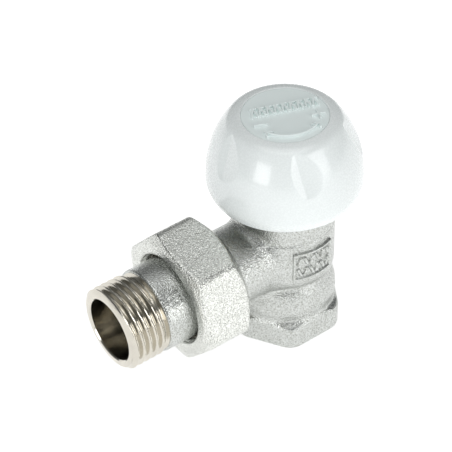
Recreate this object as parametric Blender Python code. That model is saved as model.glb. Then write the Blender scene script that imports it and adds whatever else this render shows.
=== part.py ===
"""Angle lockshield valve for a radiator, with a push-on cap and a union tail.

The frame has its origin at the centre of the inlet face. +Z runs up the spindle's axis, and the
tail that screws into the radiator points along -X. Every size below is in millimetres.
"""

import math

import bmesh
import bpy
from mathutils import Matrix

MM = 0.001
SIDES = 36
SMALL_SIDES = 24
SHARP_ANGLE = math.radians(28)

# Where the two axes cross, and how far the tail reaches from the spindle's axis.
OUTLET_HEIGHT = 24.6
TAIL_LENGTH = 52.3

# Pipe threads: G1/2 on the tail and in the inlet, G3/4 under the union nut.
THREAD_PITCH = 1.814
HALF_INCH_CREST = 10.48
HALF_INCH_ROOT = 9.32
THREE_QUARTER_CREST = 13.22
THREE_QUARTER_ROOT = 12.06

# Forged body.
BASE_FLATS = 26.0
BASE_HEIGHT = 7.1
BASE_SHOULDER = 13.1
CORNER_RADIUS = 6.0
WAIST_RADIUS = 11.4
NECK_RADIUS = 12.35
COLLAR_RADIUS = 12.7
COLLAR_HEIGHT = 32.7
NECK_TOP = 40.6
BOSS_RADIUS = 9.7
SOCKET_DEPTH = 11.0
SEAT_HEIGHT = 16.2
SEAT_BORE = 5.5
CHAMBER_RADIUS = 9.6
CHAMBER_FLOOR = 15.2
BONNET_BORE = 10.6
OUTLET_BORE = 7.5
SPIGOT_START = 21.0
SPIGOT_END = 29.1
SPIGOT_BORE = 9.3

# Union nut and tailpiece, measured outwards from the spindle's axis.
NUT_FLATS = 30.3
NUT_CORNER_RADIUS = 2.7
NUT_TURN = math.radians(17.5)
NUT_BACK = 21.6
NUT_FRONT = 35.4
NUT_BORE = 13.55
NUT_SHOULDER = 32.4
NUT_HOLE = 11.1
NUT_MOUTH = 11.8
SHANK_RADIUS = 10.55
SHANK_END = 42.0
TAIL_BORE = 7.85
KEY_FLATS = 12.0
FLANGE_RADIUS = 11.9
FLANGE_START = 29.45
FLANGE_END = 32.1
SPIGOT_RADIUS = 9.0
SPIGOT_TIP = 24.7

# Headwork: bonnet, spindle and plug.
BONNET_FOOT = 28.5
BONNET_TOP = 50.0
BONNET_FLATS = 19.0
GUIDE_FLATS = 13.0
GUIDE_TOP = 39.8
STEM_BORE = 4.05
STEM_RADIUS = 3.75
GROOVE_RADIUS = 2.75
O_RING_HEIGHTS = (42.3, 45.3)
SPINDLE_FOOT = 25.9
SPINDLE_TOP = 57.0
SPINDLE_THREAD = 3.2
SPINDLE_PITCH = 1.6
SPLINES = 12
KEY_SOCKET_FLATS = 4.0
PLUG_FLATS = 12.4
PLUG_TOP = 33.0

# Cap: a mushroom with a flat top, five finger notches and a separate marked disc.
CAP_BOTTOM = 41.7
CAP_WIDEST_HEIGHT = 45.4
CAP_WIDEST = 18.95
CAP_RIM = 17.7
CAP_TOP = 62.65
CAP_RISE = 23.0
CAP_WALL = 1.9
CAP_SHOULDER = ((14.64, 60.0), (13.52, 61.66), (13.3, 62.2), (10.65, CAP_TOP))
NOTCHES = 5
NOTCH_TURN = -116
NOTCH_HEIGHT = 56.6
NOTCH_REACH = 4.9
NOTCH_DEPTH = 1.0
NOTCH_WALL = 7.0
NOTCH_RAMP = 20.0
DISC_RADIUS = 10.35
DISC_FLOOR = 60.5
HUB_RADIUS = 6.4
HUB_BOTTOM = 51.7


def circle_angles(count):
    """Return evenly spaced angles round a turned piece."""
    return [2 * math.pi * index / count for index in range(count)]


def hexagon_angles(turn=0.0):
    """Return angles that follow a hexagon: close together at its corners, wider on its flats."""
    steps = (-30, -25, -14, 0, 14, 25)
    return [math.radians(60 * side + step + 30) + turn for side in range(6) for step in steps]


def hexagon_radius(angle, flats, corner_radius=0.0, turn=0.0):
    """Return how far a hexagon with rounded corners reaches at an angle; corners lie at turn."""
    offset = (angle - turn) % (math.pi / 3)
    offset = min(offset, math.pi / 3 - offset)
    straight = flats / 2 / math.cos(math.pi / 6 - offset)
    centre = (flats / 2 - corner_radius) / math.cos(math.pi / 6)
    reach = corner_radius ** 2 - (centre * math.sin(offset)) ** 2
    if reach <= 0:
        return straight
    return min(straight, centre * math.cos(offset) + math.sqrt(reach))


def finish(name, mesh_data, material, location=(0, 0, 0), along_outlet=False):
    """Turn a bmesh into a named object, shaded smooth, with its material and its place."""
    bmesh.ops.recalc_face_normals(mesh_data, faces=mesh_data.faces)
    bmesh.ops.scale(mesh_data, vec=(MM, MM, MM), verts=mesh_data.verts)
    mesh = bpy.data.meshes.new(name)
    mesh_data.to_mesh(mesh)
    mesh_data.free()
    mesh.shade_smooth()
    mesh.set_sharp_from_angle(angle=SHARP_ANGLE)
    mesh.materials.append(material)
    piece = bpy.data.objects.new(name, mesh)
    bpy.context.collection.objects.link(piece)
    piece.location = [value * MM for value in location]
    if along_outlet:
        piece.rotation_euler = (0, -math.pi / 2, 0)
    return piece


def lathe(outline, angles):
    """Return a bmesh turned round Z from an outline of (radius, height) points.

    A point may also be a function of the angle, for hexagons, splines and notches. The outline
    closes on itself unless it starts and ends on the axis.
    """
    data = bmesh.new()
    rings = []
    for point in outline:
        if not callable(point) and point[0] == 0:
            rings.append([data.verts.new((0, 0, point[1]))])
            continue
        ring = []
        for angle in angles:
            radius, height = point(angle) if callable(point) else point
            ring.append(data.verts.new((radius * math.cos(angle), radius * math.sin(angle), height)))
        rings.append(ring)
    pairs = list(zip(rings, rings[1:]))
    if len(rings[0]) > 1:
        pairs.append((rings[-1], rings[0]))
    for lower, upper in pairs:
        for index in range(len(angles)):
            following = (index + 1) % len(angles)
            corners = [lower[index % len(lower)], lower[following % len(lower)],
                       upper[following % len(upper)], upper[index % len(upper)]]
            data.faces.new(list(dict.fromkeys(corners)))
    return data


def arc(centre, radius, start, end, steps):
    """Return points on an arc in the (radius, height) plane, with angles in degrees."""
    points = []
    for step in range(steps + 1):
        angle = math.radians(start + (end - start) * step / steps)
        points.append((centre[0] + radius * math.cos(angle), centre[1] + radius * math.sin(angle)))
    return points


def thread(start, end, crest, root, pitch):
    """Return the outline of a thread as one vee-shaped ring per turn, from start to end."""
    step = pitch if end > start else -pitch
    turns = int(abs(end - start) / pitch)
    points = []
    for turn in range(turns):
        height = start + turn * step
        points += [(root, height), (crest, height + 0.5 * step)]
    return points


def open_ring(inner, outer, bottom, top, gap, steps):
    """Return a bmesh of a flat ring with a gap, such as a circlip."""
    data = bmesh.new()
    section = [(inner, bottom), (outer, bottom), (outer, top), (inner, top)]
    rows = []
    for step in range(steps + 1):
        angle = gap / 2 + (2 * math.pi - gap) * step / steps
        rows.append([data.verts.new((r * math.cos(angle), r * math.sin(angle), z)) for r, z in section])
    for row, following in zip(rows, rows[1:]):
        for index in range(4):
            beside = (index + 1) % 4
            data.faces.new([row[index], row[beside], following[beside], following[index]])
    data.faces.new(rows[0])
    data.faces.new(rows[-1][::-1])
    return data


def add_boolean(piece, other, operation):
    """Combine a piece with a helper object, which then stays hidden."""
    modifier = piece.modifiers.new(other.name, "BOOLEAN")
    modifier.operation = operation
    modifier.solver = "EXACT"
    modifier.object = other
    other.hide_render = True
    other.display_type = "WIRE"


def make_material(name, colour, roughness, metallic):
    """Return a Principled material."""
    material = bpy.data.materials.new(name)
    material.use_nodes = True
    shader = material.node_tree.nodes["Principled BSDF"]
    shader.inputs["Base Color"].default_value = (*colour, 1)
    shader.inputs["Roughness"].default_value = roughness
    shader.inputs["Metallic"].default_value = metallic
    return material


def hexagon_point(flats, height, corner_radius=0.0, turn=0.0, chamfer=None):
    """Return a lathe point that follows a hexagon, dropped along a cone outside the chamfer.

    chamfer is (radius where the cone starts, slope), with a negative slope for a lower face.
    """
    def point(angle):
        radius = hexagon_radius(angle, flats, corner_radius, turn)
        if chamfer is None:
            return radius, height
        return radius, height - max(0.0, radius - chamfer[0]) * chamfer[1]
    return point


def make_body(metal):
    """Forged body: hexagon base, bell, waist, neck, side boss and union spigot, bored through."""
    hexagon = [(0, 0), hexagon_point(BASE_FLATS - 0.8, 0, CORNER_RADIUS),
               hexagon_point(BASE_FLATS, 0.5, CORNER_RADIUS),
               hexagon_point(BASE_FLATS, BASE_HEIGHT, CORNER_RADIUS, 0.0, (BASE_SHOULDER, 0.5)),
               (BASE_SHOULDER - 0.2, BASE_HEIGHT + 0.05), (0, BASE_HEIGHT + 0.05)]
    body = finish("valve_body", lathe(hexagon, hexagon_angles()), metal)

    bell = [(0, 3.0), (12.2, 3.0), (12.7, BASE_HEIGHT), (12.55, 8.4), (12.8, 10.4)]
    bell += [(12.6, 12.6), (12.1, 14.6), (11.6, 15.5), (WAIST_RADIUS, 16.2), (11.6, 17.0)]
    bell += [(12.05, 18.3), (NECK_RADIUS, 19.8), (NECK_RADIUS, COLLAR_HEIGHT - 0.2)]
    bell += [(COLLAR_RADIUS, COLLAR_HEIGHT), (COLLAR_RADIUS, NECK_TOP - 0.4)]
    bell += [(COLLAR_RADIUS - 0.4, NECK_TOP), (0, NECK_TOP)]
    neck = finish("helper_neck", lathe(bell, circle_angles(SIDES)), metal)
    add_boolean(body, neck, "UNION")

    boss = [(0, 3.0), (12.0, 3.0), (12.0, 10.6)]
    boss += arc((BOSS_RADIUS + 4.4, 15.0), 4.4, 240, 180, 4)
    boss += [(BOSS_RADIUS, SPIGOT_START - 0.6), (BOSS_RADIUS + 0.6, SPIGOT_START)]
    boss += [(THREE_QUARTER_ROOT, SPIGOT_START)]
    boss += thread(SPIGOT_START + 0.5, SPIGOT_END - 0.2, THREE_QUARTER_CREST, THREE_QUARTER_ROOT,
                   THREAD_PITCH)
    boss += [(THREE_QUARTER_ROOT - 0.3, SPIGOT_END), (0, SPIGOT_END)]
    outlet = finish("helper_boss", lathe(boss, circle_angles(SIDES)), metal, (0, 0, OUTLET_HEIGHT), True)
    add_boolean(body, outlet, "UNION")

    socket_thread = thread(0.6, SOCKET_DEPTH, HALF_INCH_ROOT, HALF_INCH_CREST, THREAD_PITCH)
    waterway = [(0, -1.0), (HALF_INCH_CREST + 0.4, -1.0), (HALF_INCH_CREST + 0.4, 0.0)]
    waterway += socket_thread
    waterway += [(HALF_INCH_ROOT - 0.1, SOCKET_DEPTH), (SEAT_BORE, SOCKET_DEPTH + 1.6)]
    waterway += [(SEAT_BORE, SEAT_HEIGHT), (6.3, SEAT_HEIGHT), (6.9, CHAMBER_FLOOR)]
    waterway += [(CHAMBER_RADIUS, CHAMBER_FLOOR), (CHAMBER_RADIUS, 31.6), (BONNET_BORE, 32.4)]
    waterway += [(BONNET_BORE, 39.2), (11.7, 39.2), (11.7, NECK_TOP + 1), (0, NECK_TOP + 1)]
    bore = finish("helper_waterway", lathe(waterway, circle_angles(SIDES)), metal)
    add_boolean(body, bore, "DIFFERENCE")

    port = [(0, 0.0), (OUTLET_BORE, 0.0), (OUTLET_BORE, 22.6), (SPIGOT_BORE, 24.3)]
    port += [(SPIGOT_BORE, SPIGOT_END - 0.4), (SPIGOT_BORE + 0.5, SPIGOT_END + 1), (0, SPIGOT_END + 1)]
    side = finish("helper_port", lathe(port, circle_angles(SIDES)), metal, (0, 0, OUTLET_HEIGHT), True)
    add_boolean(body, side, "DIFFERENCE")


def make_bonnet(metal):
    """Bonnet: threaded foot with a hexagonal guide, flange, spanner hexagon and stem tube."""
    outline = [hexagon_point(GUIDE_FLATS, BONNET_FOOT), (8.9, BONNET_FOOT), (8.9, 32.2)]
    outline += [(10.25, 33.4), (10.25, 38.7), (9.85, 39.1), (9.85, 40.9)]
    outline += [(11.3, 40.9), (11.5, 41.1), (11.5, 42.5), (11.2, 42.8), (9.6, 42.9)]
    outline += [hexagon_point(BONNET_FLATS, 43.0, 0.4),
                hexagon_point(BONNET_FLATS, 46.4, 0.4, 0.0, (9.6, 0.58)), (9.0, 46.4)]
    outline += [(6.3, 46.6), (6.3, BONNET_TOP - 0.4), (5.9, BONNET_TOP), (STEM_BORE, BONNET_TOP)]
    outline += [(STEM_BORE, GUIDE_TOP), hexagon_point(GUIDE_FLATS, GUIDE_TOP)]
    finish("bonnet", lathe(outline, hexagon_angles()), metal)


def make_ring(name, radius, height, thickness, material, along_outlet=False):
    """Round-section ring, such as an O-ring or a spring ring."""
    section = arc((radius, height), thickness, 0, 300, 5)
    place = (0, 0, OUTLET_HEIGHT) if along_outlet else (0, 0, 0)
    finish(name, lathe(section, circle_angles(SMALL_SIDES)), material, place, along_outlet)


def make_spindle(metal):
    """Spindle: drive thread, thrust collar, two seal grooves, circlip groove, splines, key socket."""
    def spline(height, depth):
        def point(angle):
            tooth = math.cos(SPLINES * angle)
            return STEM_RADIUS - 0.25 + 0.2 * tooth - depth, height
        return point

    outline = [(0, SPINDLE_FOOT), (2.4, SPINDLE_FOOT)]
    outline += thread(26.2, 36.2, SPINDLE_THREAD, SPINDLE_THREAD - 0.8, SPINDLE_PITCH)
    outline += [(2.6, 36.6), (2.6, 37.4), (4.9, 37.4), (5.2, 37.7), (5.2, 39.0), (STEM_RADIUS, 39.0)]
    for height in O_RING_HEIGHTS:
        outline += [(STEM_RADIUS, height - 0.75), (GROOVE_RADIUS, height - 0.75)]
        outline += [(GROOVE_RADIUS, height + 0.75), (STEM_RADIUS, height + 0.75)]
    outline += [(STEM_RADIUS, 50.2), (3.0, 50.2), (3.0, 51.4), (STEM_RADIUS - 0.1, 51.4)]
    outline += [(STEM_RADIUS - 0.1, 51.9), spline(52.1, 0), spline(SPINDLE_TOP - 0.5, 0)]
    outline += [(3.0, SPINDLE_TOP), hexagon_point(KEY_SOCKET_FLATS, SPINDLE_TOP)]
    outline += [hexagon_point(KEY_SOCKET_FLATS, 52.4), (0, 51.8)]
    finish("spindle", lathe(outline, circle_angles(SMALL_SIDES)), metal)


def make_plug(metal, rubber, brass):
    """Plug that the spindle's thread lifts, with the washer that shuts the seat and its fixings."""
    outline = [(2.0, 18.5), (7.3, 18.5), (7.3, 16.9), (7.9, 16.9), (7.9, 20.4), (6.6, 21.6)]
    outline += [(6.2, 22.2), hexagon_point(PLUG_FLATS, 23.0), hexagon_point(PLUG_FLATS, PLUG_TOP - 0.4)]
    outline += [(5.9, PLUG_TOP), (SPINDLE_THREAD + 0.3, PLUG_TOP), (SPINDLE_THREAD + 0.3, 21.6)]
    outline += [(2.0, 21.4)]
    finish("plug", lathe(outline, hexagon_angles()), metal)

    washer = [(2.1, 16.45), (6.9, 16.45), (7.1, 16.7), (7.1, 18.2), (2.1, 18.2)]
    finish("seat_washer", lathe(washer, circle_angles(SMALL_SIDES)), rubber)

    backing = [(1.95, 15.75), (4.2, 15.75), (4.2, 16.25), (1.95, 16.25)]
    finish("backing_washer", lathe(backing, circle_angles(SMALL_SIDES)), brass)

    screw = [(0, 14.2), (2.9, 14.2), (3.3, 14.6), (3.3, 15.6), (1.75, 15.6), (1.75, 20.9), (0, 21.2)]
    finish("washer_screw", lathe(screw, circle_angles(SMALL_SIDES)), brass)


def cap_radius(height):
    """Return the outer radius of the cap's dome at a height."""
    if height >= CAP_WIDEST_HEIGHT:
        share = (height - CAP_WIDEST_HEIGHT) / CAP_RISE
        return CAP_WIDEST * math.sqrt(1 - share * share)
    share = (CAP_WIDEST_HEIGHT - height) / (CAP_WIDEST_HEIGHT - CAP_BOTTOM)
    return CAP_WIDEST - (CAP_WIDEST - CAP_RIM) * share * share


def shoulder_points(steps):
    """Return points on the curve that rolls the dome over into its flat top."""
    points = []
    for step in range(steps + 1):
        share = step / steps
        rest = 1 - share
        weights = (rest ** 3, 3 * rest ** 2 * share, 3 * rest * share ** 2, share ** 3)
        points.append(tuple(sum(weight * point[axis] for weight, point in zip(weights, CAP_SHOULDER))
                            for axis in (0, 1)))
    return points


def cap_angles():
    """Return angles round the cap that are close together at its notches."""
    steps = (-32, -23, -15, -11, -NOTCH_WALL, -3.5, 0, 5, 10, 15, NOTCH_RAMP, 30)
    return [math.radians(NOTCH_TURN + 360 / NOTCHES * notch + step)
            for notch in range(NOTCHES) for step in steps]


def notch_depth(angle, height):
    """Return how far a finger notch is sunk into the dome: a steep wall, then a gentle ramp."""
    pitch = 360 / NOTCHES
    offset = (math.degrees(angle) - NOTCH_TURN + pitch / 2) % pitch - pitch / 2
    level = 1 - ((height - NOTCH_HEIGHT) / NOTCH_REACH) ** 2
    across = 1 + offset / NOTCH_WALL if offset < 0 else 1 - offset / NOTCH_RAMP
    return NOTCH_DEPTH * max(0.0, level) * max(0.0, across)


def make_cap(plastic):
    """Cap shell: dome with a rounded rim, a recess for the disc and a collar for the drive hub."""
    def notched(radius, height):
        def point(angle):
            return radius - notch_depth(angle, height), height
        return point

    outline = [(16.4, CAP_BOTTOM), (17.2, CAP_BOTTOM), (CAP_RIM + 0.1, CAP_BOTTOM + 0.5)]
    heights = [43.3, 44.8, 46.6, 48.5, 50.3, 51.7, 53.0, 54.3, 55.5, 56.6, 57.7, 58.9]
    outline += [notched(cap_radius(height), height) for height in heights]
    outline += [notched(radius, height) for radius, height in shoulder_points(6)]
    outline += [(DISC_RADIUS, CAP_TOP), (DISC_RADIUS, DISC_FLOOR), (3.3, DISC_FLOOR), (3.3, 58.8)]
    outline += [(9.3, 58.8), (9.3, 56.6), (10.4, 56.6), (10.6, 58.0)]
    inner = [(cap_radius(height) - CAP_WALL, height) for height in (57.6, 54.5, 51.0, 47.5, 44.5)]
    finish("cap_shell", lathe(outline + inner, cap_angles()), plastic)


def make_cap_disc(plastic):
    """Disc that snaps into the top of the cap and covers the key hole."""
    outline = [(0, 59.4), (2.7, 59.4), (3.0, 59.7), (3.0, DISC_FLOOR + 0.3)]
    outline += [(DISC_RADIUS - 0.25, DISC_FLOOR + 0.3), (DISC_RADIUS - 0.25, CAP_TOP - 0.2)]
    outline += [(DISC_RADIUS - 0.5, CAP_TOP), (0, CAP_TOP)]
    finish("cap_disc", lathe(outline, circle_angles(SIDES)), plastic)


def make_hub(plastic, steel):
    """Drive hub that grips the spindle's splines, with the spring ring that tightens its fingers."""
    ring_groove = [(HUB_RADIUS, 54.0), (5.75, 54.0), (5.75, 53.0), (HUB_RADIUS, 53.0)]
    outline = [(4.0, HUB_BOTTOM), (HUB_RADIUS - 0.3, HUB_BOTTOM), (HUB_RADIUS, HUB_BOTTOM + 0.3)]
    outline += ring_groove[::-1]
    outline += [(HUB_RADIUS, 56.9), (9.05, 57.1), (9.05, 58.5), (2.6, 58.5), (2.6, 57.4), (4.0, 57.4)]
    hub = finish("drive_hub", lathe(outline, circle_angles(SIDES)), plastic)
    for index in range(2):
        slot = bmesh.new()
        bmesh.ops.create_cube(slot, size=1, matrix=Matrix.Diagonal((16, 0.8, 4.6, 1)))
        cutter = finish("helper_slot_%d" % index, slot, plastic, (0, 0, HUB_BOTTOM + 1.6))
        cutter.rotation_euler = (0, 0, math.pi / 4 + index * math.pi / 2)
        add_boolean(hub, cutter, "DIFFERENCE")
    make_ring("hub_spring_ring", 6.25, 53.5, 0.4, steel)


def make_tailpiece(metal):
    """Tailpiece: sealing spigot, flange under the nut, shank, radiator thread and key hexagon."""
    outline = [hexagon_point(KEY_FLATS, SPIGOT_TIP), (8.2, SPIGOT_TIP), (SPIGOT_RADIUS, 25.4)]
    outline += [(SPIGOT_RADIUS, 26.3), (7.8, 26.3), (7.8, 28.1), (SPIGOT_RADIUS, 28.1)]
    outline += [(SPIGOT_RADIUS, FLANGE_START), (FLANGE_RADIUS - 0.3, FLANGE_START)]
    outline += [(FLANGE_RADIUS, FLANGE_START + 0.3), (FLANGE_RADIUS, FLANGE_END)]
    outline += [(SHANK_RADIUS, FLANGE_END + 0.1), (SHANK_RADIUS, SHANK_END - 0.3)]
    outline += [(SHANK_RADIUS - 0.3, SHANK_END), (HALF_INCH_ROOT - 0.15, SHANK_END + 0.25)]
    outline += [(HALF_INCH_ROOT - 0.15, SHANK_END + 1.0)]
    outline += thread(SHANK_END + 0.9, TAIL_LENGTH - 0.2, HALF_INCH_CREST, HALF_INCH_ROOT, THREAD_PITCH)
    outline += [(HALF_INCH_ROOT - 0.05, TAIL_LENGTH), (TAIL_BORE + 0.25, TAIL_LENGTH)]
    outline += [(TAIL_BORE, TAIL_LENGTH - 0.3), (TAIL_BORE, 37.6), hexagon_point(KEY_FLATS, 36.2)]
    finish("tailpiece", lathe(outline, hexagon_angles()), metal, (0, 0, OUTLET_HEIGHT), True)


def make_nut(metal):
    """Union nut: rounded hexagon, chamfered at both ends, with a shoulder that holds the tail."""
    front = (14.2, 0.42)
    back = (13.9, -0.8)
    outline = [(NUT_BORE, NUT_BACK), (13.9, NUT_BACK)]
    outline += [hexagon_point(NUT_FLATS, NUT_BACK, NUT_CORNER_RADIUS, NUT_TURN, back)]
    outline += [hexagon_point(NUT_FLATS, NUT_FRONT, NUT_CORNER_RADIUS, NUT_TURN, front)]
    outline += [(14.2, NUT_FRONT), (NUT_MOUTH, NUT_FRONT), (NUT_MOUTH - 0.1, NUT_FRONT - 0.5)]
    outline += [(NUT_HOLE, NUT_FRONT - 1.3), (NUT_HOLE, NUT_SHOULDER), (NUT_BORE, NUT_SHOULDER)]
    finish("union_nut", lathe(outline, hexagon_angles(NUT_TURN)), metal, (0, 0, OUTLET_HEIGHT), True)


def main():
    """Build every piece of the valve."""
    for old in list(bpy.data.objects):
        bpy.data.objects.remove(old, do_unlink=True)
    nickel = make_material("blasted_nickel", (0.62, 0.63, 0.61), 0.42, 1.0)
    bright_nickel = make_material("bright_nickel", (0.66, 0.65, 0.61), 0.18, 1.0)
    brass = make_material("brass", (0.72, 0.52, 0.24), 0.32, 1.0)
    steel = make_material("spring_steel", (0.35, 0.36, 0.37), 0.35, 1.0)
    white = make_material("white_abs", (0.82, 0.85, 0.85), 0.28, 0.0)
    nylon = make_material("natural_nylon", (0.78, 0.76, 0.68), 0.5, 0.0)
    rubber = make_material("black_epdm", (0.02, 0.02, 0.02), 0.6, 0.0)
    ptfe = make_material("ptfe", (0.85, 0.85, 0.83), 0.45, 0.0)

    make_body(nickel)
    make_bonnet(brass)
    make_ring("bonnet_o_ring", 10.78, 39.95, 0.6, rubber)
    make_spindle(brass)
    make_ring("lower_spindle_o_ring", 3.32, O_RING_HEIGHTS[0], 0.5, rubber)
    make_ring("upper_spindle_o_ring", 3.32, O_RING_HEIGHTS[1], 0.5, rubber)
    finish("spindle_circlip", open_ring(3.2, 5.2, 50.4, 51.2, math.radians(70), 20), steel)
    thrust = [(4.1, 39.15), (6.0, 39.15), (6.0, 39.6), (4.1, 39.6)]
    finish("thrust_washer", lathe(thrust, circle_angles(SMALL_SIDES)), ptfe)
    make_plug(brass, rubber, brass)
    make_cap(white)
    make_cap_disc(white)
    make_hub(nylon, steel)
    make_tailpiece(bright_nickel)
    make_ring("tail_o_ring", 8.55, 27.2, 0.65, rubber, True)
    make_nut(nickel)


main()
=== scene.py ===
"""Looks of the angle lockshield valve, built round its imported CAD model.

The frame is the CAD's: metres, +Z up the spindle's axis, -X along the tail. The shapes below are
worked out in millimetres and scaled when their meshes are made.
"""
import math

import bmesh
import bpy
import numpy as np
from mathutils import Matrix, Vector


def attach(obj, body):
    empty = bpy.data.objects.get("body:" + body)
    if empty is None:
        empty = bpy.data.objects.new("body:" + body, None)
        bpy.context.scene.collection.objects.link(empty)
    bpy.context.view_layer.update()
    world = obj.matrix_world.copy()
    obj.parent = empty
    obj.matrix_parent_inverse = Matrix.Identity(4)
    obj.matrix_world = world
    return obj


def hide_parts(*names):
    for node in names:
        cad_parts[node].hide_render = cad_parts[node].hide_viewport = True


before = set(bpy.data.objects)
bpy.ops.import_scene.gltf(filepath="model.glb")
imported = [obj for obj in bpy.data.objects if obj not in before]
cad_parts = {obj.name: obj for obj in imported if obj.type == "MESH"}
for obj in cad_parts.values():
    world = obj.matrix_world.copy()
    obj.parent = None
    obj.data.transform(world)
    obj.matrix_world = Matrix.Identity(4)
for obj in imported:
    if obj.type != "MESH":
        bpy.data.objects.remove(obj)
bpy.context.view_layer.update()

MM = 0.001

# Driving sizes in millimetres. They are the CAD's, apart from BASE_CORNER, WAIST_LIFT and
# NOTCH_LEAN, which shape the visible surface more finely than the CAD does.
OUTLET_HEIGHT = 24.6
THREAD_PITCH = 1.814
HALF_INCH = (10.48, 9.32)
THREE_QUARTER = (13.22, 12.06)
BASE_FLATS = 26.0
BASE_HEIGHT = 7.1
BASE_CORNER = 5.0
NECK_RADIUS = 12.35
COLLAR_RADIUS = 12.7
COLLAR_HEIGHT = 32.7
NECK_TOP = 40.6
WAIST_LIFT = 1.4
BOSS_RADIUS = 9.7
SPIGOT_START = 21.0
SPIGOT_END = 29.1
NUT_FLATS = 30.3
NUT_CORNER = 2.7
NUT_TURN = math.radians(17.5)
NUT_BACK = 21.6
NUT_FRONT = 35.4
SHANK_RADIUS = 10.55
SHANK_END = 42.0
TAIL_LENGTH = 52.3
TAIL_BORE = 7.85
CAP_BOTTOM = 41.7
CAP_WIDEST_HEIGHT = 45.4
CAP_WIDEST = 18.95
CAP_RIM = 17.7
CAP_TOP = 62.65
CAP_RISE = 23.0
CAP_SHOULDER = ((14.64, 60.0), (13.52, 61.66), (13.3, 62.2), (10.65, CAP_TOP))
NOTCHES = 5
NOTCH_TURN = -116.0
NOTCH_HEIGHT = 56.6
NOTCH_REACH = 4.9
NOTCH_DEPTH = 1.0
NOTCH_WALL = 7.0
NOTCH_RAMP = 20.0
NOTCH_LEAN = 0.75
DISC_RADIUS = 10.35
DISC_FLOOR = 60.5
STEM_RADIUS = 3.75
SPINDLE_PITCH = 1.6
STEM_SEAL_HEIGHTS = (42.3, 45.3)
KEY_SOCKET_FLATS = 4.0
GUIDE_FLATS = 13.0
SPANNER_FLATS = 19.0
PLUG_FLATS = 12.4

TURNED_SIDES = 144
WELD_DISTANCE = 0.001
SETTLE_PASSES = 3
LIGHT_DISTANCE = 0.9
LIGHT_AIM = Vector((-0.012, 0, 0.03))


# ---------------------------------------------------------------- signed distances, in millimetres

def smooth_step(share):
    """Ease a share between 0 and 1 at both ends."""
    return share * share * (3 - 2 * share)


def smooth_union(first, second, blend):
    """Union of two distance fields with a fillet of about the blend's size."""
    mix = np.clip(0.5 + 0.5 * (second - first) / blend, 0, 1)
    return second * (1 - mix) + first * mix - blend * mix * (1 - mix)


def smooth_cut(first, second, blend):
    """Intersection of two distance fields with a rounded edge."""
    return -smooth_union(-first, -second, blend)


def hexagon_field(across, up, flats, corner, turn):
    """Distance to a hexagon with rounded corners; a corner lies at the turn angle."""
    angle = np.arctan2(up, across) - turn
    radius = np.hypot(across, up)
    sector = np.pi / 3
    offset = np.abs((angle + sector / 2) % sector - sector / 2)
    along = radius * np.cos(np.pi / 6 - offset)
    beside = np.abs(radius * np.sin(np.pi / 6 - offset))
    half = flats / 2 - corner
    reach = half * math.tan(math.pi / 6)
    outside = np.hypot(np.maximum(along - half, 0), np.maximum(beside - reach, 0))
    inside = np.minimum(along - half, 0)
    return outside + inside - corner


def turned_field(radius, height, outline):
    """Distance to a turned solid whose outline is a list of (radius, height) points."""
    best = np.full(radius.shape, 1e9)
    inside = np.zeros(radius.shape, bool)
    count = len(outline)
    for index in range(count):
        ra, za = outline[index]
        rb, zb = outline[(index + 1) % count]
        edge_r = rb - ra
        edge_z = zb - za
        share = ((radius - ra) * edge_r + (height - za) * edge_z) / (edge_r ** 2 + edge_z ** 2)
        share = np.clip(share, 0, 1)
        on_axis = ra == 0 and rb == 0
        if not on_axis:
            gap = np.hypot(radius - ra - share * edge_r, height - za - share * edge_z)
            best = np.minimum(best, gap)
        crosses = (za > height) != (zb > height)
        if zb != za:
            crossing = ra + (height - za) * edge_r / edge_z
            inside ^= crosses & (radius < crossing)
    return np.where(inside, -best, best)


def rounded(points):
    """Return an open outline with a Catmull-Rom midpoint put between each two points."""
    result = []
    for index in range(len(points) - 1):
        before = points[max(index - 1, 0)]
        here, after = points[index], points[index + 1]
        beyond = points[min(index + 2, len(points) - 1)]
        result.append(here)
        result.append(tuple((9 * (here[k] + after[k]) - before[k] - beyond[k]) / 16
                            for k in (0, 1)))
    return result + [points[-1]]


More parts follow.
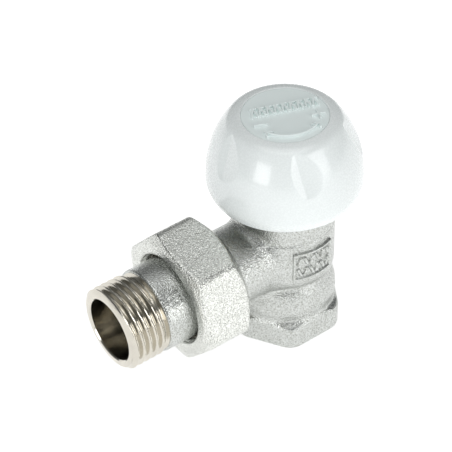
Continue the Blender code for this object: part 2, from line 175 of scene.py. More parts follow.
def isosurface(field, low, high, step):
    """Return a field's zero surface as vertices and quads, by surface nets, then settled."""
    axes = [np.arange(low[k], high[k] + step, step) for k in range(3)]
    grid = np.meshgrid(*axes, indexing="ij")
    values = field(*grid)
    sign = values < 0
    shape = np.array(values.shape) - 1
    corners = [(i, j, k) for i in (0, 1) for j in (0, 1) for k in (0, 1)]

    def part(array, offset):
        return array[offset[0]:offset[0] + shape[0], offset[1]:offset[1] + shape[1],
                     offset[2]:offset[2] + shape[2]]

    total = sum(part(sign, corner).astype(np.int8) for corner in corners)
    active = (total > 0) & (total < 8)
    cells = np.argwhere(active)
    number = np.full(active.shape, -1)
    number[active] = np.arange(len(cells))
    sums = np.zeros((len(cells), 3))
    counts = np.zeros(len(cells))
    for first in corners:
        for axis in range(3):
            if first[axis]:
                continue
            second = tuple(1 if k == axis else first[k] for k in range(3))
            a = part(values, first)[active]
            b = part(values, second)[active]
            cut = (a < 0) != (b < 0)
            share = np.where(cut, a / np.where(cut, a - b, 1), 0)
            point = np.tile(np.array(first, float), (len(cells), 1))
            point[:, axis] = share
            sums[cut] += point[cut]
            counts += cut
    vertices = np.array(low) + (cells + sums / counts[:, None]) * step
    quads = []
    for axis in range(3):
        following = [(axis + 1) % 3, (axis + 2) % 3]
        here = [slice(1, n) for n in shape]
        here[axis] = slice(0, shape[axis])
        there = list(here)
        there[axis] = slice(1, shape[axis] + 1)
        start = sign[tuple(here)]
        end = sign[tuple(there)]
        crossing = np.argwhere(start != end)
        flipped = start[start != end]
        base = crossing.copy()
        for other in following:
            base[:, other] += 1
        ring = []
        for shift in ((0, 0), (1, 0), (1, 1), (0, 1)):
            cell = base.copy()
            cell[:, following[0]] -= shift[0]
            cell[:, following[1]] -= shift[1]
            ring.append(number[cell[:, 0], cell[:, 1], cell[:, 2]])
        quad = np.stack(ring, 1)
        quad[flipped] = quad[flipped][:, ::-1]
        quads.append(quad)
    quads = np.concatenate(quads)
    for _ in range(SETTLE_PASSES):
        vertices = settle(field, vertices, step)
    return vertices, quads


def settle(field, points, step):
    """Move points on to the field's zero surface along its gradient, by less than a cell."""
    reach = step * 0.2
    shallowest_slope = 0.25
    longest_move = 0.4 * step
    value = field(*points.T)
    slope = np.stack([(field(*(points + reach * axis).T) - field(*(points - reach * axis).T))
                      / (2 * reach) for axis in np.eye(3)], 1)
    move = -value / np.maximum((slope ** 2).sum(1), shallowest_slope)
    return points + np.clip(move, -longest_move, longest_move)[:, None] * slope


# ---------------------------------------------------------------- mesh helpers

def outlet_points(points):
    """Carry points from the outlet's own frame, where z runs outwards, into the valve's."""
    x, y, z = points.T
    return np.stack([-z, y, x + OUTLET_HEIGHT], 1)


def make_piece(name, vertices, faces, material, body, sharp=None):
    """Make a mesh object from millimetre vertices, shade it and let it ride its body."""
    mesh = bpy.data.meshes.new(name)
    mesh.from_pydata((np.asarray(vertices) * MM).tolist(), [], np.asarray(faces).tolist())
    tidy = bmesh.new()
    tidy.from_mesh(mesh)
    bmesh.ops.remove_doubles(tidy, verts=tidy.verts, dist=WELD_DISTANCE * MM)
    bmesh.ops.recalc_face_normals(tidy, faces=tidy.faces)
    tidy.to_mesh(mesh)
    tidy.free()
    mesh.shade_smooth()
    if sharp:
        mesh.set_sharp_from_angle(angle=math.radians(sharp))
    mesh.materials.append(material)
    piece = bpy.data.objects.new(name, mesh)
    bpy.context.scene.collection.objects.link(piece)
    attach(piece, body)
    return piece


def grid_faces(rows, columns, wrap=True):
    """Return the quads of a grid of vertices, whose columns close round a turned piece."""
    faces = []
    last = columns if wrap else columns - 1
    for row in range(rows - 1):
        for column in range(last):
            beside = (column + 1) % columns
            faces.append((row * columns + column, row * columns + beside,
                          (row + 1) * columns + beside, (row + 1) * columns + column))
    return faces


def turn_outline(outline, sides, radius_at=None):
    """Turn a closed outline of (radius, height) points round Z.

    A point may be a function that turns angles into radii and heights, and radius_at may change
    the radii of every ring.
    """
    angles = np.arange(sides) * 2 * np.pi / sides
    rings = []
    for index, point in enumerate(outline):
        radius, height = point(angles) if callable(point) else point
        radii = np.zeros(sides) + radius
        if radius_at is not None:
            radii = radius_at(radii, height, angles, index)
        rings.append(np.stack([radii * np.cos(angles), radii * np.sin(angles),
                               np.zeros(sides) + height], 1))
    base = (len(outline) - 1) * sides
    faces = grid_faces(len(outline), sides)
    faces += [(base + c, base + (c + 1) % sides, (c + 1) % sides, c) for c in range(sides)]
    return np.concatenate(rings), faces


# ---------------------------------------------------------------- materials

def new_material(name):
    """Return a material, its node tree and its Principled shader."""
    material = bpy.data.materials.new(name)
    material.use_nodes = True
    return material, material.node_tree, material.node_tree.nodes["Principled BSDF"]


def new_surface(name, metallic=0.0):
    """Return a material, its node tree, its shader and its object-space coordinates."""
    material, tree, shader = new_material(name)
    shader.inputs["Metallic"].default_value = metallic
    return material, tree, shader, add_node(tree, "ShaderNodeTexCoord").outputs["Object"]


def add_node(tree, kind, **values):
    """Add a node; values set its sockets by name, or its properties when it has no such socket."""
    node = tree.nodes.new(kind)
    for key, value in values.items():
        socket = node.inputs.get(key.replace("_", " "))
        if socket is None:
            setattr(node, key, value)
        else:
            socket.default_value = value
    return node


def ramp(tree, source, stops):
    """Add a colour ramp driven by a socket; stops are (position, colour)."""
    node = tree.nodes.new("ShaderNodeValToRGB")
    elements = node.color_ramp.elements
    while len(elements) < len(stops):
        elements.new(0.5)
    for element, (position, colour) in zip(elements, stops):
        element.position = position
        element.color = (*colour, 1)
    tree.links.new(source, node.inputs["Fac"])
    return node


def paint(tree, shader, source, stops):
    """Colour a shader by a ramp of a socket's value."""
    tree.links.new(ramp(tree, source, stops).outputs["Color"], shader.inputs["Base Color"])


def roughen(tree, shader, source, low, high):
    """Set a shader's roughness from low to high as a noise value runs over its usual range."""
    node = tree.nodes.new("ShaderNodeMapRange")
    node.inputs["From Min"].default_value = 0.3
    node.inputs["From Max"].default_value = 0.7
    node.inputs["To Min"].default_value = low
    node.inputs["To Max"].default_value = high
    tree.links.new(source, node.inputs["Value"])
    tree.links.new(node.outputs["Result"], shader.inputs["Roughness"])


def noise(tree, coordinates, scale, detail=2.0, roughness=0.5):
    """Add a noise texture in object space; scale is features per metre."""
    node = add_node(tree, "ShaderNodeTexNoise", Scale=scale, Detail=detail, Roughness=roughness)
    tree.links.new(coordinates, node.inputs["Vector"])
    return node


def add_bump(tree, shader, heights):
    """Chain bump nodes; heights are (socket, strength, distance in metres)."""
    previous = None
    for source, strength, distance in heights:
        bump = add_node(tree, "ShaderNodeBump", Strength=strength, Distance=distance)
        tree.links.new(source, bump.inputs["Height"])
        if previous is not None:
            tree.links.new(previous, bump.inputs["Normal"])
        previous = bump.outputs["Normal"]
    tree.links.new(previous, shader.inputs["Normal"])


def blasted_nickel(name, light=(0.63, 0.645, 0.63), dark=(0.39, 0.40, 0.37), grain=1.0):
    """Nickel plate over a shot-blasted brass forging: fine pits, soft sheen, slight mottling."""
    material, tree, shader, place = new_surface(name, 1.0)
    pits = add_node(tree, "ShaderNodeTexVoronoi", Scale=2700.0, Randomness=1.0)
    tree.links.new(place, pits.inputs["Vector"])
    fine = noise(tree, place, 3100.0, 2.0, 0.5)
    broad = noise(tree, place, 420.0, 3.0)
    colour = ramp(tree, fine.outputs["Fac"], [(0.36, dark), (0.56, light)])
    mottle = add_node(tree, "ShaderNodeMix", data_type="RGBA", blend_type="MULTIPLY")
    mottle.inputs["Factor"].default_value = 0.35
    tree.links.new(colour.outputs["Color"], mottle.inputs["A"])
    shade = ramp(tree, broad.outputs["Fac"], [(0.3, (0.80, 0.80, 0.79)), (0.7, (1.0, 1.0, 1.0))])
    tree.links.new(shade.outputs["Color"], mottle.inputs["B"])
    tree.links.new(mottle.outputs["Result"], shader.inputs["Base Color"])
    roughen(tree, shader, fine.outputs["Fac"], 0.30, 0.18)
    add_bump(tree, shader, [(pits.outputs["Distance"], 0.6 * grain, 0.00011),
                            (fine.outputs["Fac"], 0.8 * grain, 0.00014),
                            (broad.outputs["Fac"], 0.12, 0.0002)])
    return material


def bright_nickel(name):
    """Bright nickel plate on turned brass: polished, with faint turning marks and haze."""
    tint = (0.63, 0.60, 0.53)
    material, tree, shader, place = new_surface(name, 1.0)
    stretch = add_node(tree, "ShaderNodeMapping")
    stretch.inputs["Scale"].default_value = (14.0, 1.0, 1.0)
    tree.links.new(place, stretch.inputs["Vector"])
    turning = noise(tree, stretch.outputs["Vector"], 900.0, 3.0)
    haze = noise(tree, place, 260.0, 3.0)
    dulled = tuple(0.88 * c for c in tint)
    paint(tree, shader, haze.outputs["Fac"], [(0.3, dulled), (0.65, tint)])
    roughen(tree, shader, haze.outputs["Fac"], 0.10, 0.20)
    add_bump(tree, shader, [(turning.outputs["Fac"], 0.12, 0.00005),
                            (haze.outputs["Fac"], 0.10, 0.0002)])
    return material


def turned_brass(name):
    """Bare turned brass: yellow, lightly ringed by the tool, a little tarnished."""
    material, tree, shader, place = new_surface(name, 1.0)
    stretch = add_node(tree, "ShaderNodeMapping")
    stretch.inputs["Scale"].default_value = (1.0, 1.0, 12.0)
    tree.links.new(place, stretch.inputs["Vector"])
    turning = noise(tree, stretch.outputs["Vector"], 1100.0, 3.0)
    tarnish = noise(tree, place, 340.0, 4.0)
    tones = [(0.3, (0.52, 0.36, 0.15)), (0.65, (0.80, 0.60, 0.30))]
    paint(tree, shader, tarnish.outputs["Fac"], tones)
    roughen(tree, shader, tarnish.outputs["Fac"], 0.22, 0.38)
    add_bump(tree, shader, [(turning.outputs["Fac"], 0.2, 0.00005)])
    return material


def spring_steel(name):
    """Dark drawn steel with fine scratches."""
    material, tree, shader, place = new_surface(name, 1.0)
    scratches = noise(tree, place, 4200.0, 2.0)
    tones = [(0.3, (0.18, 0.19, 0.21)), (0.7, (0.38, 0.39, 0.41))]
    paint(tree, shader, scratches.outputs["Fac"], tones)
    roughen(tree, shader, scratches.outputs["Fac"], 0.28, 0.45)
    add_bump(tree, shader, [(scratches.outputs["Fac"], 0.2, 0.00004)])
    return material


def moulded_plastic(name, colour, roughness, depth=0.0, gloss=False):
    """Moulded plastic with very slight flow marks; depth lets light in and gloss adds a coat."""
    material, tree, shader, place = new_surface(name)
    flow = noise(tree, place, 110.0, 3.0)
    skin = noise(tree, place, 2600.0, 2.0)
    dulled = tuple(0.975 * c for c in colour)
    paint(tree, shader, flow.outputs["Fac"], [(0.3, dulled), (0.7, colour)])
    roughen(tree, shader, skin.outputs["Fac"], roughness - 0.03, roughness + 0.05)
    if depth:
        shader.inputs["Subsurface Weight"].default_value = depth
        shader.inputs["Subsurface Scale"].default_value = 0.0015
        shader.inputs["Subsurface Radius"].default_value = (1.0, 0.95, 0.9)
    if gloss:
        shader.inputs["Coat Weight"].default_value = 0.6
        shader.inputs["Coat Roughness"].default_value = 0.08
    add_bump(tree, shader, [(flow.outputs["Fac"], 0.06, 0.0004),
                            (skin.outputs["Fac"], 0.02, 0.00002)])
    return material


def moulded_rubber(name):
    """Black EPDM with a dull, slightly dusty skin."""
    material, tree, shader, place = new_surface(name)
    dust = noise(tree, place, 1800.0, 3.0)
    tones = [(0.35, (0.012, 0.012, 0.013)), (0.75, (0.05, 0.05, 0.05))]
    paint(tree, shader, dust.outputs["Fac"], tones)
    roughen(tree, shader, dust.outputs["Fac"], 0.5, 0.7)
    add_bump(tree, shader, [(dust.outputs["Fac"], 0.15, 0.00005)])
    return material


forged = blasted_nickel("blasted_nickel")
nut_skin = blasted_nickel("blasted_nickel_nut", (0.80, 0.81, 0.78), (0.50, 0.51, 0.47), 1.15)
shank_skin = blasted_nickel("blasted_nickel_shank", grain=0.8)
polished = bright_nickel("bright_nickel")
brass = turned_brass("turned_brass")
steel = spring_steel("spring_steel")
white = moulded_plastic("white_abs", (0.84, 0.885, 0.88), 0.26, gloss=True)
disc_white = moulded_plastic("white_abs_disc", (0.85, 0.93, 0.92), 0.34)
nylon = moulded_plastic("natural_nylon", (0.80, 0.78, 0.70), 0.42, 0.2)
ptfe = moulded_plastic("ptfe", (0.86, 0.86, 0.84), 0.4, 0.1)
rubber = moulded_rubber("black_epdm")


# ---------------------------------------------------------------- body

def body_field(x, y, z):
    """Distance to the forged body: hexagon, bell, neck and side boss, with its waterways."""
    radius = np.hypot(x, y)
    hexagon = hexagon_field(x, y, BASE_FLATS, BASE_CORNER, 0.0)
    shoulder = (z - BASE_HEIGHT + 0.5 * (radius - 13.1)) * 0.894
    base = smooth_cut(smooth_cut(hexagon, shoulder, 0.9), -z, 0.6)
    base = smooth_cut(base, (-z + (radius - 14.6) * 0.6) * 0.86, 0.4)
    bell = [(0, 2), (12.2, 2), (12.5, 7.2), (12.6, 8.6), (12.85, 10.4), (12.65, 12.6)]
    bell += [(12.15, 14.4), (11.6, 15.6), (11.45, 16.3), (11.6, 17.1), (12.05, 18.4)]
    bell += [(NECK_RADIUS, 20.0)]
    bell = bell[:2] + rounded(bell[2:])
    bell += [(NECK_RADIUS, COLLAR_HEIGHT - 0.9),
             (NECK_RADIUS - 0.3, COLLAR_HEIGHT - 0.3), (COLLAR_RADIUS, COLLAR_HEIGHT + 0.2)]
    bell += [(COLLAR_RADIUS, NECK_TOP - 0.4), (COLLAR_RADIUS - 0.4, NECK_TOP), (0, NECK_TOP)]
    side = np.clip((np.degrees(np.arctan2(np.abs(y), x)) - 45) / 50, 0, 1)
    lift = WAIST_LIFT * smooth_step(side) * np.exp(-((z - 17.0) / 3.8) ** 2)
    neck = smooth_union(turned_field(radius, z - lift, bell), base, 0.9)
    outward = np.hypot(y, z - OUTLET_HEIGHT)
    boss = [(0, 0), (BOSS_RADIUS, 0), (BOSS_RADIUS, SPIGOT_START - 0.7), (10.4, SPIGOT_START)]
    boss += [(11.9, SPIGOT_START), (11.9, 22.0), (0, 22.0)]
    solid = smooth_union(neck, turned_field(outward, -x, boss), 2.6)
    water = [(0, -2), (10.75, -2), (10.75, 11.0), (5.5, 12.6), (5.5, 16.2), (6.3, 16.2)]
    water += [(6.9, 15.2), (9.6, 15.2), (9.6, 31.6), (10.6, 32.4), (10.6, 39.2), (11.7, 39.2)]
    water += [(11.7, 42.0), (0, 42.0)]
    port = [(0, 0), (7.5, 0), (7.5, 22.6), (9.3, 24.3), (9.3, 30), (0, 30)]
    solid = smooth_cut(solid, -turned_field(radius, z, water), 0.25)
    return smooth_cut(solid, -turned_field(outward, -x, port), 0.25)


def thread_wave(height, angles, pitch):
    """Return 0 at a thread's roots and 1 at its crests, along a right-handed helix."""
    phase = (height / pitch - angles / (2 * np.pi)) % 1.0
    wave = 1 - np.abs(2 * phase - 1)
    flat = 0.10
    roundness = 0.45
    wave = np.clip((wave - flat) / (1 - 2 * flat), 0, 1)
    return smooth_step(wave) * roundness + wave * (1 - roundness)


def steps_between(start, end, step):
    """Return evenly spaced heights from start to end, about a step apart."""
    count = max(2, int(round(abs(end - start) / step)) + 1)
    return list(np.linspace(start, end, count))


def make_body():
    """Forged body, its two threads and the raised panel on the neck."""
    step = 0.3
    vertices, faces = isosurface(body_field, (-23, -16, -1), (16, 16, 41.5), step)
    piece = make_piece("body_forging", vertices, faces, forged, "valve_body")
    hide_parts("valve_body")

    crest, root = THREE_QUARTER

    def male(radii, height, angles, index):
        if radii[0] < crest:
            return radii
        wave = root + (crest - root) * thread_wave(height, angles, THREAD_PITCH)
        fade = np.minimum(wave, root - 0.4 + (SPIGOT_END - height) * 1.2)
        return np.minimum(fade, root + np.maximum(0, height - SPIGOT_START - 0.4) * 1.6)

    outline = [(9.3, SPIGOT_END - 0.5), (9.3, SPIGOT_START + 0.3), (root, SPIGOT_START + 0.3)]
    outline += [(crest, height) for height in steps_between(SPIGOT_START + 0.4, SPIGOT_END, 0.16)]
    outline += [(9.8, SPIGOT_END)]
    vertices, faces = turn_outline(outline, TURNED_SIDES, male)
    make_piece("union_thread", outlet_points(vertices), faces, polished, "valve_body",
               40)

    crest, root = HALF_INCH

    def female(radii, height, angles, index):
        if radii[0] > root:
            return radii
        wave = crest - (crest - root) * thread_wave(height, angles, THREAD_PITCH)
        return np.maximum(wave, crest + 0.3 - np.maximum(0, height - 0.2) * 1.2)

    outline = [(crest + 0.5, 0.25), (crest + 0.5, 11.0)]
    outline += [(root, height) for height in steps_between(11.0, 0.25, 0.16)]
    vertices, faces = turn_outline(outline, TURNED_SIDES, female)
    make_piece("inlet_thread", vertices, faces, polished, "valve_body", 40)
    make_panel()


def segment_distance(u, v, start, end):
    """Distance in the (u, v) plane to a straight stroke."""
    du = end[0] - start[0]
    dv = end[1] - start[1]
    share = np.clip(((u - start[0]) * du + (v - start[1]) * dv) / (du * du + dv * dv), 0, 1)
    return np.hypot(u - start[0] - share * du, v - start[1] - share * dv)


def emboss(distance, width, height, softness):
    """Return the height of a raised stroke: full over its width, rounded off over the softness."""
    share = np.clip((width / 2 + softness - distance) / softness, 0, 1)
    return height * smooth_step(share)


def make_panel():
    """Raised frame on the neck with two rows of plain strokes, as a forging's rating panel."""
    half_width = 5.3
    half_height = 3.9
    centre = math.radians(-93)
    middle = 25.6
    margin = 0.7
    u = np.linspace(-half_width - margin, half_width + margin, 112)
    v = np.linspace(-half_height - margin, half_height + margin, 92)
    uu, vv = np.meshgrid(u, v)
    edges = [((-half_width, -half_height), (half_width, -half_height)),
             ((half_width, -half_height), (half_width, half_height)),
             ((half_width, half_height), (-half_width, half_height)),
             ((-half_width, half_height), (-half_width, -half_height))]
    width, softness = 0.5, 0.3
    frame_height, stroke_height = 0.6, 0.55
    pitch, half_stroke = 1.6, 0.85
    height = np.zeros(uu.shape)
    for start, end in edges:
        edge = segment_distance(uu, vv, start, end)
        height = np.maximum(height, emboss(edge, width, frame_height, softness))
    for row in (-1.7, 1.7):
        for column in range(6):
            left = -4.0 + pitch * column
            lean = 0.35 if (column + (row > 0)) % 2 else -0.35
            stroke = segment_distance(uu, vv, (left - lean, row - half_stroke),
                                      (left + lean, row + half_stroke))
            height = np.maximum(height, emboss(stroke, width, stroke_height, softness))
    sunk = 0.06
    radius = NECK_RADIUS - sunk + height
    angle = centre + uu / NECK_RADIUS
    vertices = np.stack([radius * np.cos(angle), radius * np.sin(angle), middle + vv], -1)
    faces = grid_faces(len(v), len(u), wrap=False)
    make_piece("rating_panel", vertices.reshape(-1, 3), faces, forged, "valve_body")


# ---------------------------------------------------------------- nut and tail

def nut_field(x, y, z):
    """Distance to the union nut in the outlet's own frame."""
    radius = np.hypot(x, y)
    hexagon = hexagon_field(x, y, NUT_FLATS, NUT_CORNER, NUT_TURN)
    front = (z - NUT_FRONT + np.maximum(0, radius - 14.2) * 0.42) * 0.92
    back = (NUT_BACK - z + np.maximum(0, radius - 13.9) * 0.8) * 0.78
    solid = smooth_cut(smooth_cut(hexagon, front, 0.35), back, 0.35)
    bore = [(0, 20), (13.55, 20), (13.55, 32.4), (11.1, 32.4), (11.1, 34.1), (11.7, 34.9)]
    bore += [(11.85, 36), (0, 36)]
    return smooth_cut(solid, -turned_field(radius, z, bore), 0.3)


def make_nut():
    """Union nut."""
    step = 0.3
    vertices, faces = isosurface(nut_field, (-18, -18, 21), (18, 18, 36), step)
    piece = make_piece("nut_forging", outlet_points(vertices), faces, nut_skin, "union_nut")
    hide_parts("union_nut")


def make_tail():
    """Tailpiece: spigot, flange and thread are polished; the shank is blasted."""
    crest, root = HALF_INCH

    def thread_radii(radii, height, angles, index):
        if radii[0] != crest:
            return radii
        wave = root + (crest - root) * thread_wave(height, angles, THREAD_PITCH)
        wave = np.minimum(wave, root + 0.1 + (TAIL_LENGTH - height) * 1.9)
        return np.minimum(wave, root - 0.1 + max(0.0, height - SHANK_END - 0.9) * 1.4)

    outline = [(6.2, 24.7), (8.2, 24.7), (9.0, 25.4), (9.0, 26.3), (7.8, 26.3), (7.8, 28.1)]
    outline += [(9.0, 28.1), (9.0, 29.45), (11.6, 29.45), (11.9, 29.75), (11.9, 32.1)]
    outline += [(10.4, 32.2), (10.1, 32.5), (10.1, SHANK_END - 0.1)]
    outline += [(root + 0.1, SHANK_END + 0.3), (root - 0.1, SHANK_END + 0.5)]
    heights = steps_between(SHANK_END + 0.8, TAIL_LENGTH - 0.1, 0.13)
    outline += [(crest, height) for height in heights]
    outline += [(root - 0.15, TAIL_LENGTH), (TAIL_BORE + 0.3, TAIL_LENGTH)]
    outline += [(TAIL_BORE, TAIL_LENGTH - 0.3), (TAIL_BORE, 37.6), (6.2, 36.2)]
    vertices, faces = turn_outline(outline, 180, thread_radii)
    piece = make_piece("tail_turning", outlet_points(vertices), faces, polished, "tailpiece",
                       35)
    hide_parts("tailpiece")

    strokes = [((37.2, turn), (39.7, turn)) for turn in (-0.67, -0.79, -0.91)]

    def shank_radii(radii, height, angles, index):
        if radii[0] < SHANK_RADIUS or not 36.4 < height < 40.6:
            return radii
        raised = np.zeros(len(angles))
        wrapped = (angles + np.pi) % (2 * np.pi) - np.pi
        for start, end in strokes:
            across = (wrapped - start[1]) * SHANK_RADIUS
            gap = segment_distance(height, across, (start[0], 0.25), (end[0], -0.25))
            raised = np.maximum(raised, emboss(gap, 0.25, 0.4, 0.22))
        return radii + raised

    outline = [(10.2, 32.15), (SHANK_RADIUS, 32.2)]
    outline += [(SHANK_RADIUS, height) for height in steps_between(33.0, SHANK_END - 0.5, 0.16)]
    outline += [(SHANK_RADIUS - 0.12, SHANK_END - 0.15), (SHANK_RADIUS - 0.4, SHANK_END)]
    outline += [(9.6, SHANK_END), (9.6, 32.15)]
    vertices, faces = turn_outline(outline, 540, shank_radii)
    make_piece("tail_shank", outlet_points(vertices), faces, shank_skin, "tailpiece",
               50)


# ---------------------------------------------------------------- cap

def cap_radius(height):
    """Return the cap's outer radius at a height."""
    if height >= CAP_WIDEST_HEIGHT:
        share = (height - CAP_WIDEST_HEIGHT) / CAP_RISE
        return CAP_WIDEST * math.sqrt(1 - share * share)
    share = (CAP_WIDEST_HEIGHT - height) / (CAP_WIDEST_HEIGHT - CAP_BOTTOM)
    return CAP_WIDEST - (CAP_WIDEST - CAP_RIM) * share * share


def shoulder_points(steps):
    """Return points on the curve that rolls the dome over into its flat top."""
    points = []
    for share in np.linspace(0, 1, steps + 1):
        rest = 1 - share
        weights = (rest ** 3, 3 * rest ** 2 * share, 3 * rest * share ** 2, share ** 3)
        points.append(tuple(sum(weight * corner[axis]
                                for weight, corner in zip(weights, CAP_SHOULDER))
                            for axis in (0, 1)))
    return points


def make_cap():
    """Cap shell with five finger notches, each a steep wall beside a gentle ramp."""
    pitch = 360 / NOTCHES

    def notched(radii, height, angles, index):
        if index >= outside:
            return radii
        level = max(0.0, 1 - ((height - NOTCH_HEIGHT) / NOTCH_REACH) ** 2)
        valley = NOTCH_TURN - NOTCH_LEAN * (height - NOTCH_HEIGHT)
        offset = (np.degrees(angles) - valley + pitch / 2) % pitch - pitch / 2
        spread = 0.3 + 0.7 * level
        wall = 1 + offset / (NOTCH_WALL * spread)
        ramp = 1 - offset / (NOTCH_RAMP * spread)
        across = smooth_cut(smooth_union(wall, ramp, 0.16), 0 * ramp, 0.10)
        return radii - NOTCH_DEPTH * level ** 0.8 * across

    outline = [(16.3, CAP_BOTTOM + 0.15), (16.6, CAP_BOTTOM), (17.2, CAP_BOTTOM)]
    outline += [(17.5, CAP_BOTTOM + 0.2)]
    outline += [(cap_radius(height), height) for height in steps_between(42.1, 59.9, 0.2)]
    outline += shoulder_points(26)
    outline += [(DISC_RADIUS + 0.12, CAP_TOP - 0.02), (DISC_RADIUS, CAP_TOP - 0.15)]
    outside = len(outline) - 2
    outline += [(DISC_RADIUS, DISC_FLOOR), (3.3, DISC_FLOOR), (3.3, 58.8), (9.3, 58.8)]
    outline += [(9.3, 56.6), (10.4, 56.6), (10.6, 58.0)]
    outline += [(cap_radius(height) - 1.9, height) for height in steps_between(57.6, 43.0, 0.8)]
    vertices, faces = turn_outline(outline, 720, notched)
    piece = make_piece("cap_moulding", vertices, faces, white, "cap", 40)
    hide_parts("cap_shell")


def disc_marks(x, y):
    """Height of the disc's raised marks: minus, plus, a two-headed arrow, plain strokes."""
    tilt = math.radians(-21.2)
    u = x * math.cos(tilt) + y * math.sin(tilt)
    v = -x * math.sin(tilt) + y * math.cos(tilt)
    reach = math.radians(51)
    arrow = 8.35
    around = np.arctan2(u, -v)
    bow = np.where(np.abs(around) <= reach, np.abs(np.hypot(u, v) - arrow), 9.0)
    strokes = [((-8.1, -2.45), (-5.2, -2.45)),
               ((5.9, -2.4), (8.9, -2.4)), ((7.4, -3.85), (7.4, -1.0))]
    barb = 1.8
    for side in (-1, 1):
        tip = (arrow * math.sin(side * reach), -arrow * math.cos(reach))
        for flare in (-0.62, 0.62):
            heading = side * reach + flare + (0 if side > 0 else math.pi)
            tail = (tip[0] - barb * math.cos(heading), tip[1] - barb * math.sin(heading))
            strokes.append((tip, tail))
    foot, head = 0.9, 3.6
    for column in range(9):
        left = -7.6 + 1.86 * column
        strokes += [((left, foot), (left + 0.55, head)), ((left + 0.55, head), (left + 1.3, foot)),
                    ((left + 0.3, head), (left + 1.5, head))]
    relief = 0.68
    height = emboss(bow, 0.45, relief, 0.16)
    for start, end in strokes:
        height = np.maximum(height, emboss(segment_distance(u, v, start, end), 0.42, relief, 0.15))
    return height


def make_disc():
    """Disc in the cap's top, with raised marks on its face."""
    edge = DISC_RADIUS + 0.01
    sides = 600
    radii = [0.0] + steps_between(0.1, edge - 0.25, 0.1)
    angles = np.arange(sides) * 2 * np.pi / sides
    rings = []
    for radius in radii:
        x = radius * np.cos(angles)
        y = radius * np.sin(angles)
        rings.append(np.stack([x, y, CAP_TOP - 0.05 + disc_marks(x, y)], 1))
    for radius, height in ((edge - 0.08, CAP_TOP - 0.1), (edge, CAP_TOP - 0.25),
                           (edge, DISC_FLOOR + 0.3), (3.0, DISC_FLOOR + 0.3), (3.0, 59.7),
                           (2.7, 59.4), (0.0, 59.4)):
        rings.append(np.stack([radius * np.cos(angles), radius * np.sin(angles),
                               np.full(sides, height)], 1))
    vertices = np.concatenate(rings)
    piece = make_piece("disc_moulding", vertices, grid_faces(len(rings), sides), disc_white, "cap",
                       40)
    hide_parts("cap_disc")


# ---------------------------------------------------------------- headwork under the cap

def hexagon_ring(flats, height, corner=0.0, chamfer=None):
    """Return a lathe point that follows a hexagon, dropped along a cone outside the chamfer."""
    def ring(angles):
        offset = np.abs((angles + np.pi / 6) % (np.pi / 3) - np.pi / 6)
        straight = flats / 2 / np.cos(np.pi / 6 - offset)
        centre = (flats / 2 - corner) / math.cos(math.pi / 6)
        reach = np.maximum(0, corner ** 2 - (centre * np.sin(offset)) ** 2)
        rounded_corner = np.where(reach > 0, centre * np.cos(offset) + np.sqrt(reach), straight)
        radii = np.minimum(straight, rounded_corner)
        if chamfer is None:
            return radii, height
        return radii, height - np.maximum(0, radii - chamfer[0]) * chamfer[1]
    return ring


def spline_ring(height, depth):
    """Return a lathe point that follows the spindle's twelve splines."""
    def ring(angles):
        return STEM_RADIUS - 0.25 - depth + 0.2 * np.cos(12 * angles), height
    return ring


def bonnet_outline():
    """Bonnet: hexagonal guide inside, then foot, flange, spanner hexagon and stem tube."""
    outline = [hexagon_ring(GUIDE_FLATS, 28.5), (8.9, 28.5), (8.9, 32.2), (10.25, 33.4)]
    outline += [(10.25, 38.7), (9.85, 39.1), (9.85, 40.9), (11.25, 40.9), (11.45, 41.0)]
    outline += [(11.5, 41.15), (11.5, 42.5), (11.4, 42.7), (11.2, 42.8), (9.6, 42.9)]
    outline += [hexagon_ring(SPANNER_FLATS, 43.0, 0.4)]
    outline += [hexagon_ring(SPANNER_FLATS, 46.4, 0.4, (9.6, 0.58)), (9.0, 46.4), (6.6, 46.45)]
    outline += [(6.3, 46.7), (6.3, 49.5), (6.15, 49.85), (5.8, 50.0), (4.3, 50.0)]
    return outline + [(4.05, 49.75), (4.05, 39.8), hexagon_ring(GUIDE_FLATS, 39.8)]


def spindle_outline():
    """Spindle: drive thread, thrust collar, seal and circlip grooves, splines and key socket."""
    outline = [(0, 25.9), (2.2, 25.9), (2.4, 26.1)]
    for turn in range(6):
        rise = SPINDLE_PITCH * turn
        outline += [(2.45, 26.3 + rise), (3.2, 26.9 + rise), (3.2, 27.3 + rise)]
    outline += [(2.6, 36.6), (2.6, 37.4), (4.9, 37.4), (5.2, 37.7), (5.2, 39.0)]
    outline += [(STEM_RADIUS, 39.0)]
    for height in STEM_SEAL_HEIGHTS:
        outline += [(STEM_RADIUS, height - 0.75), (2.75, height - 0.75), (2.75, height + 0.75)]
        outline += [(STEM_RADIUS, height + 0.75)]
    outline += [(STEM_RADIUS, 50.2), (3.0, 50.2), (3.0, 51.4), (3.65, 51.4), (3.65, 51.9)]
    outline += [spline_ring(52.1, 0), spline_ring(56.5, 0), spline_ring(56.85, 0.25), (3.0, 57.0)]
    outline += [(2.55, 57.0), hexagon_ring(KEY_SOCKET_FLATS, 56.8)]
    return outline + [hexagon_ring(KEY_SOCKET_FLATS, 52.4), (0, 51.8)]


def plug_outline():
    """Plug: bored for the spindle, with a hexagon that runs in the bonnet and a skirt."""
    outline = [(2.0, 18.5), (7.3, 18.5), (7.3, 16.9), (7.8, 16.9), (7.9, 17.0), (7.9, 20.4)]
    outline += [(6.6, 21.6), (6.2, 22.2), hexagon_ring(PLUG_FLATS, 23.0)]
    outline += [hexagon_ring(PLUG_FLATS, 32.6), (5.9, 33.0), (3.7, 33.0), (3.5, 32.8)]
    return outline + [(3.5, 21.6), (2.0, 21.4)]


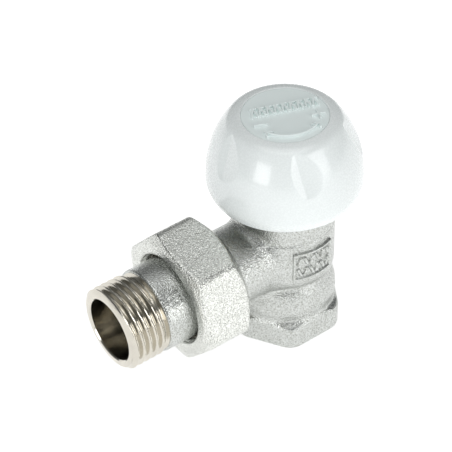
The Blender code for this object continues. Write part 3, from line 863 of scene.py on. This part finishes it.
def ring_outline(radius, height, thickness):
    """Round section of an O-ring or a spring ring; the thickness is half the cord's."""
    corners = 16
    turns = np.arange(corners) * 2 * np.pi / corners
    return [(radius + thickness * math.cos(turn), height + thickness * math.sin(turn))
            for turn in turns]


def hub_field(x, y, z):
    """Distance to the cap's drive hub: a flanged tube whose end is slotted into four fingers."""
    outline = [(4.0, 51.7), (6.1, 51.7), (6.4, 52.0), (6.4, 53.0), (5.75, 53.0), (5.75, 54.0)]
    outline += [(6.4, 54.0), (6.4, 56.9), (9.05, 57.1), (9.05, 58.5), (2.6, 58.5), (2.6, 57.4)]
    outline += [(4.0, 57.4)]
    tube = turned_field(np.hypot(x, y), z, outline)
    across = np.minimum(np.abs(x + y), np.abs(x - y)) / math.sqrt(2)
    half_slot, slot_top = 0.4, 55.6
    slots = np.maximum(across - half_slot, z - slot_top)
    return smooth_cut(tube, -slots, 0.1)


def make_headwork():
    """Everything under the cap and inside the body, turned finely."""
    washer = [(2.1, 16.45), (6.9, 16.45), (7.1, 16.7), (7.1, 18.0), (6.95, 18.2), (2.1, 18.2)]
    backing = [(1.95, 15.75), (4.1, 15.75), (4.2, 15.85), (4.2, 16.25), (1.95, 16.25)]
    screw = [(0, 14.2), (2.8, 14.2), (3.2, 14.4), (3.3, 14.6), (3.3, 15.6), (1.75, 15.6)]
    screw += [(1.75, 20.9), (0, 21.2)]
    thrust = [(4.1, 39.15), (6.0, 39.15), (6.0, 39.6), (4.1, 39.6)]
    turned = [
        ("bonnet", "valve_body", brass, bonnet_outline()),
        ("bonnet_o_ring", "valve_body", rubber, ring_outline(10.78, 39.95, 0.6)),
        ("thrust_washer", "valve_body", ptfe, thrust),
        ("spindle", "spindle", brass, spindle_outline()),
        ("lower_spindle_o_ring", "spindle", rubber, ring_outline(3.32, STEM_SEAL_HEIGHTS[0], 0.5)),
        ("upper_spindle_o_ring", "spindle", rubber, ring_outline(3.32, STEM_SEAL_HEIGHTS[1], 0.5)),
        ("plug", "plug", brass, plug_outline()),
        ("seat_washer", "plug", rubber, washer),
        ("backing_washer", "plug", brass, backing),
        ("washer_screw", "plug", brass, screw),
        ("hub_spring_ring", "cap", steel, ring_outline(6.25, 53.5, 0.4)),
    ]
    for node, body, material, outline in turned:
        vertices, faces = turn_outline(outline, TURNED_SIDES)
        piece = make_piece(node + "_turned", vertices, faces, material, body, 30)
        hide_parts(node)
    vertices, faces = turn_outline(ring_outline(8.55, 27.2, 0.65), TURNED_SIDES)
    piece = make_piece("tail_seal", outlet_points(vertices), faces, rubber, "tailpiece",
                       30)
    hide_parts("tail_o_ring")
    step = 0.22
    vertices, faces = isosurface(hub_field, (-9.5, -9.5, 51), (9.5, 9.5, 59), step)
    piece = make_piece("hub_moulding", vertices, faces, nylon, "cap", 35)
    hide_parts("drive_hub")
    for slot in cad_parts["spindle_circlip"].material_slots:
        slot.material = steel


# ---------------------------------------------------------------- stage, light and camera

def make_floor():
    """Plain pale floor."""
    mesh = bpy.data.meshes.new("floor")
    half, drop = 1.5, 0.0004
    corners = [(-half, -half, -drop), (half, -half, -drop), (half, half, -drop),
               (-half, half, -drop)]
    mesh.from_pydata(corners, [], [(0, 1, 2, 3)])
    material, _, shader = new_material("floor_paper")
    shader.inputs["Base Color"].default_value = (0.90, 0.90, 0.90, 1)
    shader.inputs["Roughness"].default_value = 0.9
    shader.inputs["Emission Color"].default_value = (1, 1, 1, 1)
    shader.inputs["Emission Strength"].default_value = 0.64
    mesh.materials.append(material)
    floor = bpy.data.objects.new("floor", mesh)
    bpy.context.scene.collection.objects.link(floor)


def add_light(name, direction, size, power):
    """Add a square soft light that points at the valve from a direction."""
    data = bpy.data.lights.new(name, "AREA")
    data.size = size
    data.energy = power
    light = bpy.data.objects.new(name, data)
    place = LIGHT_AIM + Vector(direction).normalized() * LIGHT_DISTANCE
    light.location = place
    light.rotation_euler = (place - LIGHT_AIM).to_track_quat("Z", "Y").to_euler()
    bpy.context.scene.collection.objects.link(light)


def light_stage():
    """Soft studio light: a low key and fill, a large top light, a weak back light, a pale world."""
    add_light("key", (0.25, -0.92, 0.28), 0.5, 2.1)
    add_light("fill", (-0.93, -0.30, 0.24), 0.36, 1.7)
    add_light("top", (-0.15, -0.15, 1.0), 0.9, 3.7)
    add_light("back", (0.45, 0.5, 0.9), 0.6, 0.45)
    world = bpy.data.worlds.new("surround")
    world.use_nodes = True
    background = world.node_tree.nodes["Background"]
    background.inputs["Color"].default_value = (0.97, 1.0, 1.0, 1)
    background.inputs["Strength"].default_value = 0.18
    bpy.context.scene.world = world
    bpy.context.scene.view_settings.view_transform = "Standard"


def place_camera():
    """Put the camera at the catalogue view: from the tail's side and well above."""
    azimuth = math.radians(-36.38)
    elevation = math.radians(41.23)
    roll = math.radians(-1.41)
    aim = Vector((-17.76, 0, 38.03)) * MM
    distance = 401.5 * MM
    back = Vector((math.sin(azimuth) * math.cos(elevation),
                   -math.cos(azimuth) * math.cos(elevation), math.sin(elevation)))
    level = Vector((0, 0, 1)).cross(back).normalized()
    upright = back.cross(level)
    right = level * math.cos(roll) + upright * math.sin(roll)
    up = upright * math.cos(roll) - level * math.sin(roll)
    data = bpy.data.cameras.new("camera")
    data.sensor_width = 36.0
    data.lens = 135.35
    data.clip_start = 0.01
    camera = bpy.data.objects.new("camera", data)
    axes = Matrix((right, up, back)).transposed().to_4x4()
    camera.matrix_world = Matrix.Translation(aim + back * distance) @ axes
    bpy.context.scene.collection.objects.link(camera)
    bpy.context.scene.camera = camera


make_body()
make_nut()
make_tail()
make_cap()
make_disc()
make_headwork()
make_floor()
light_stage()
place_camera()
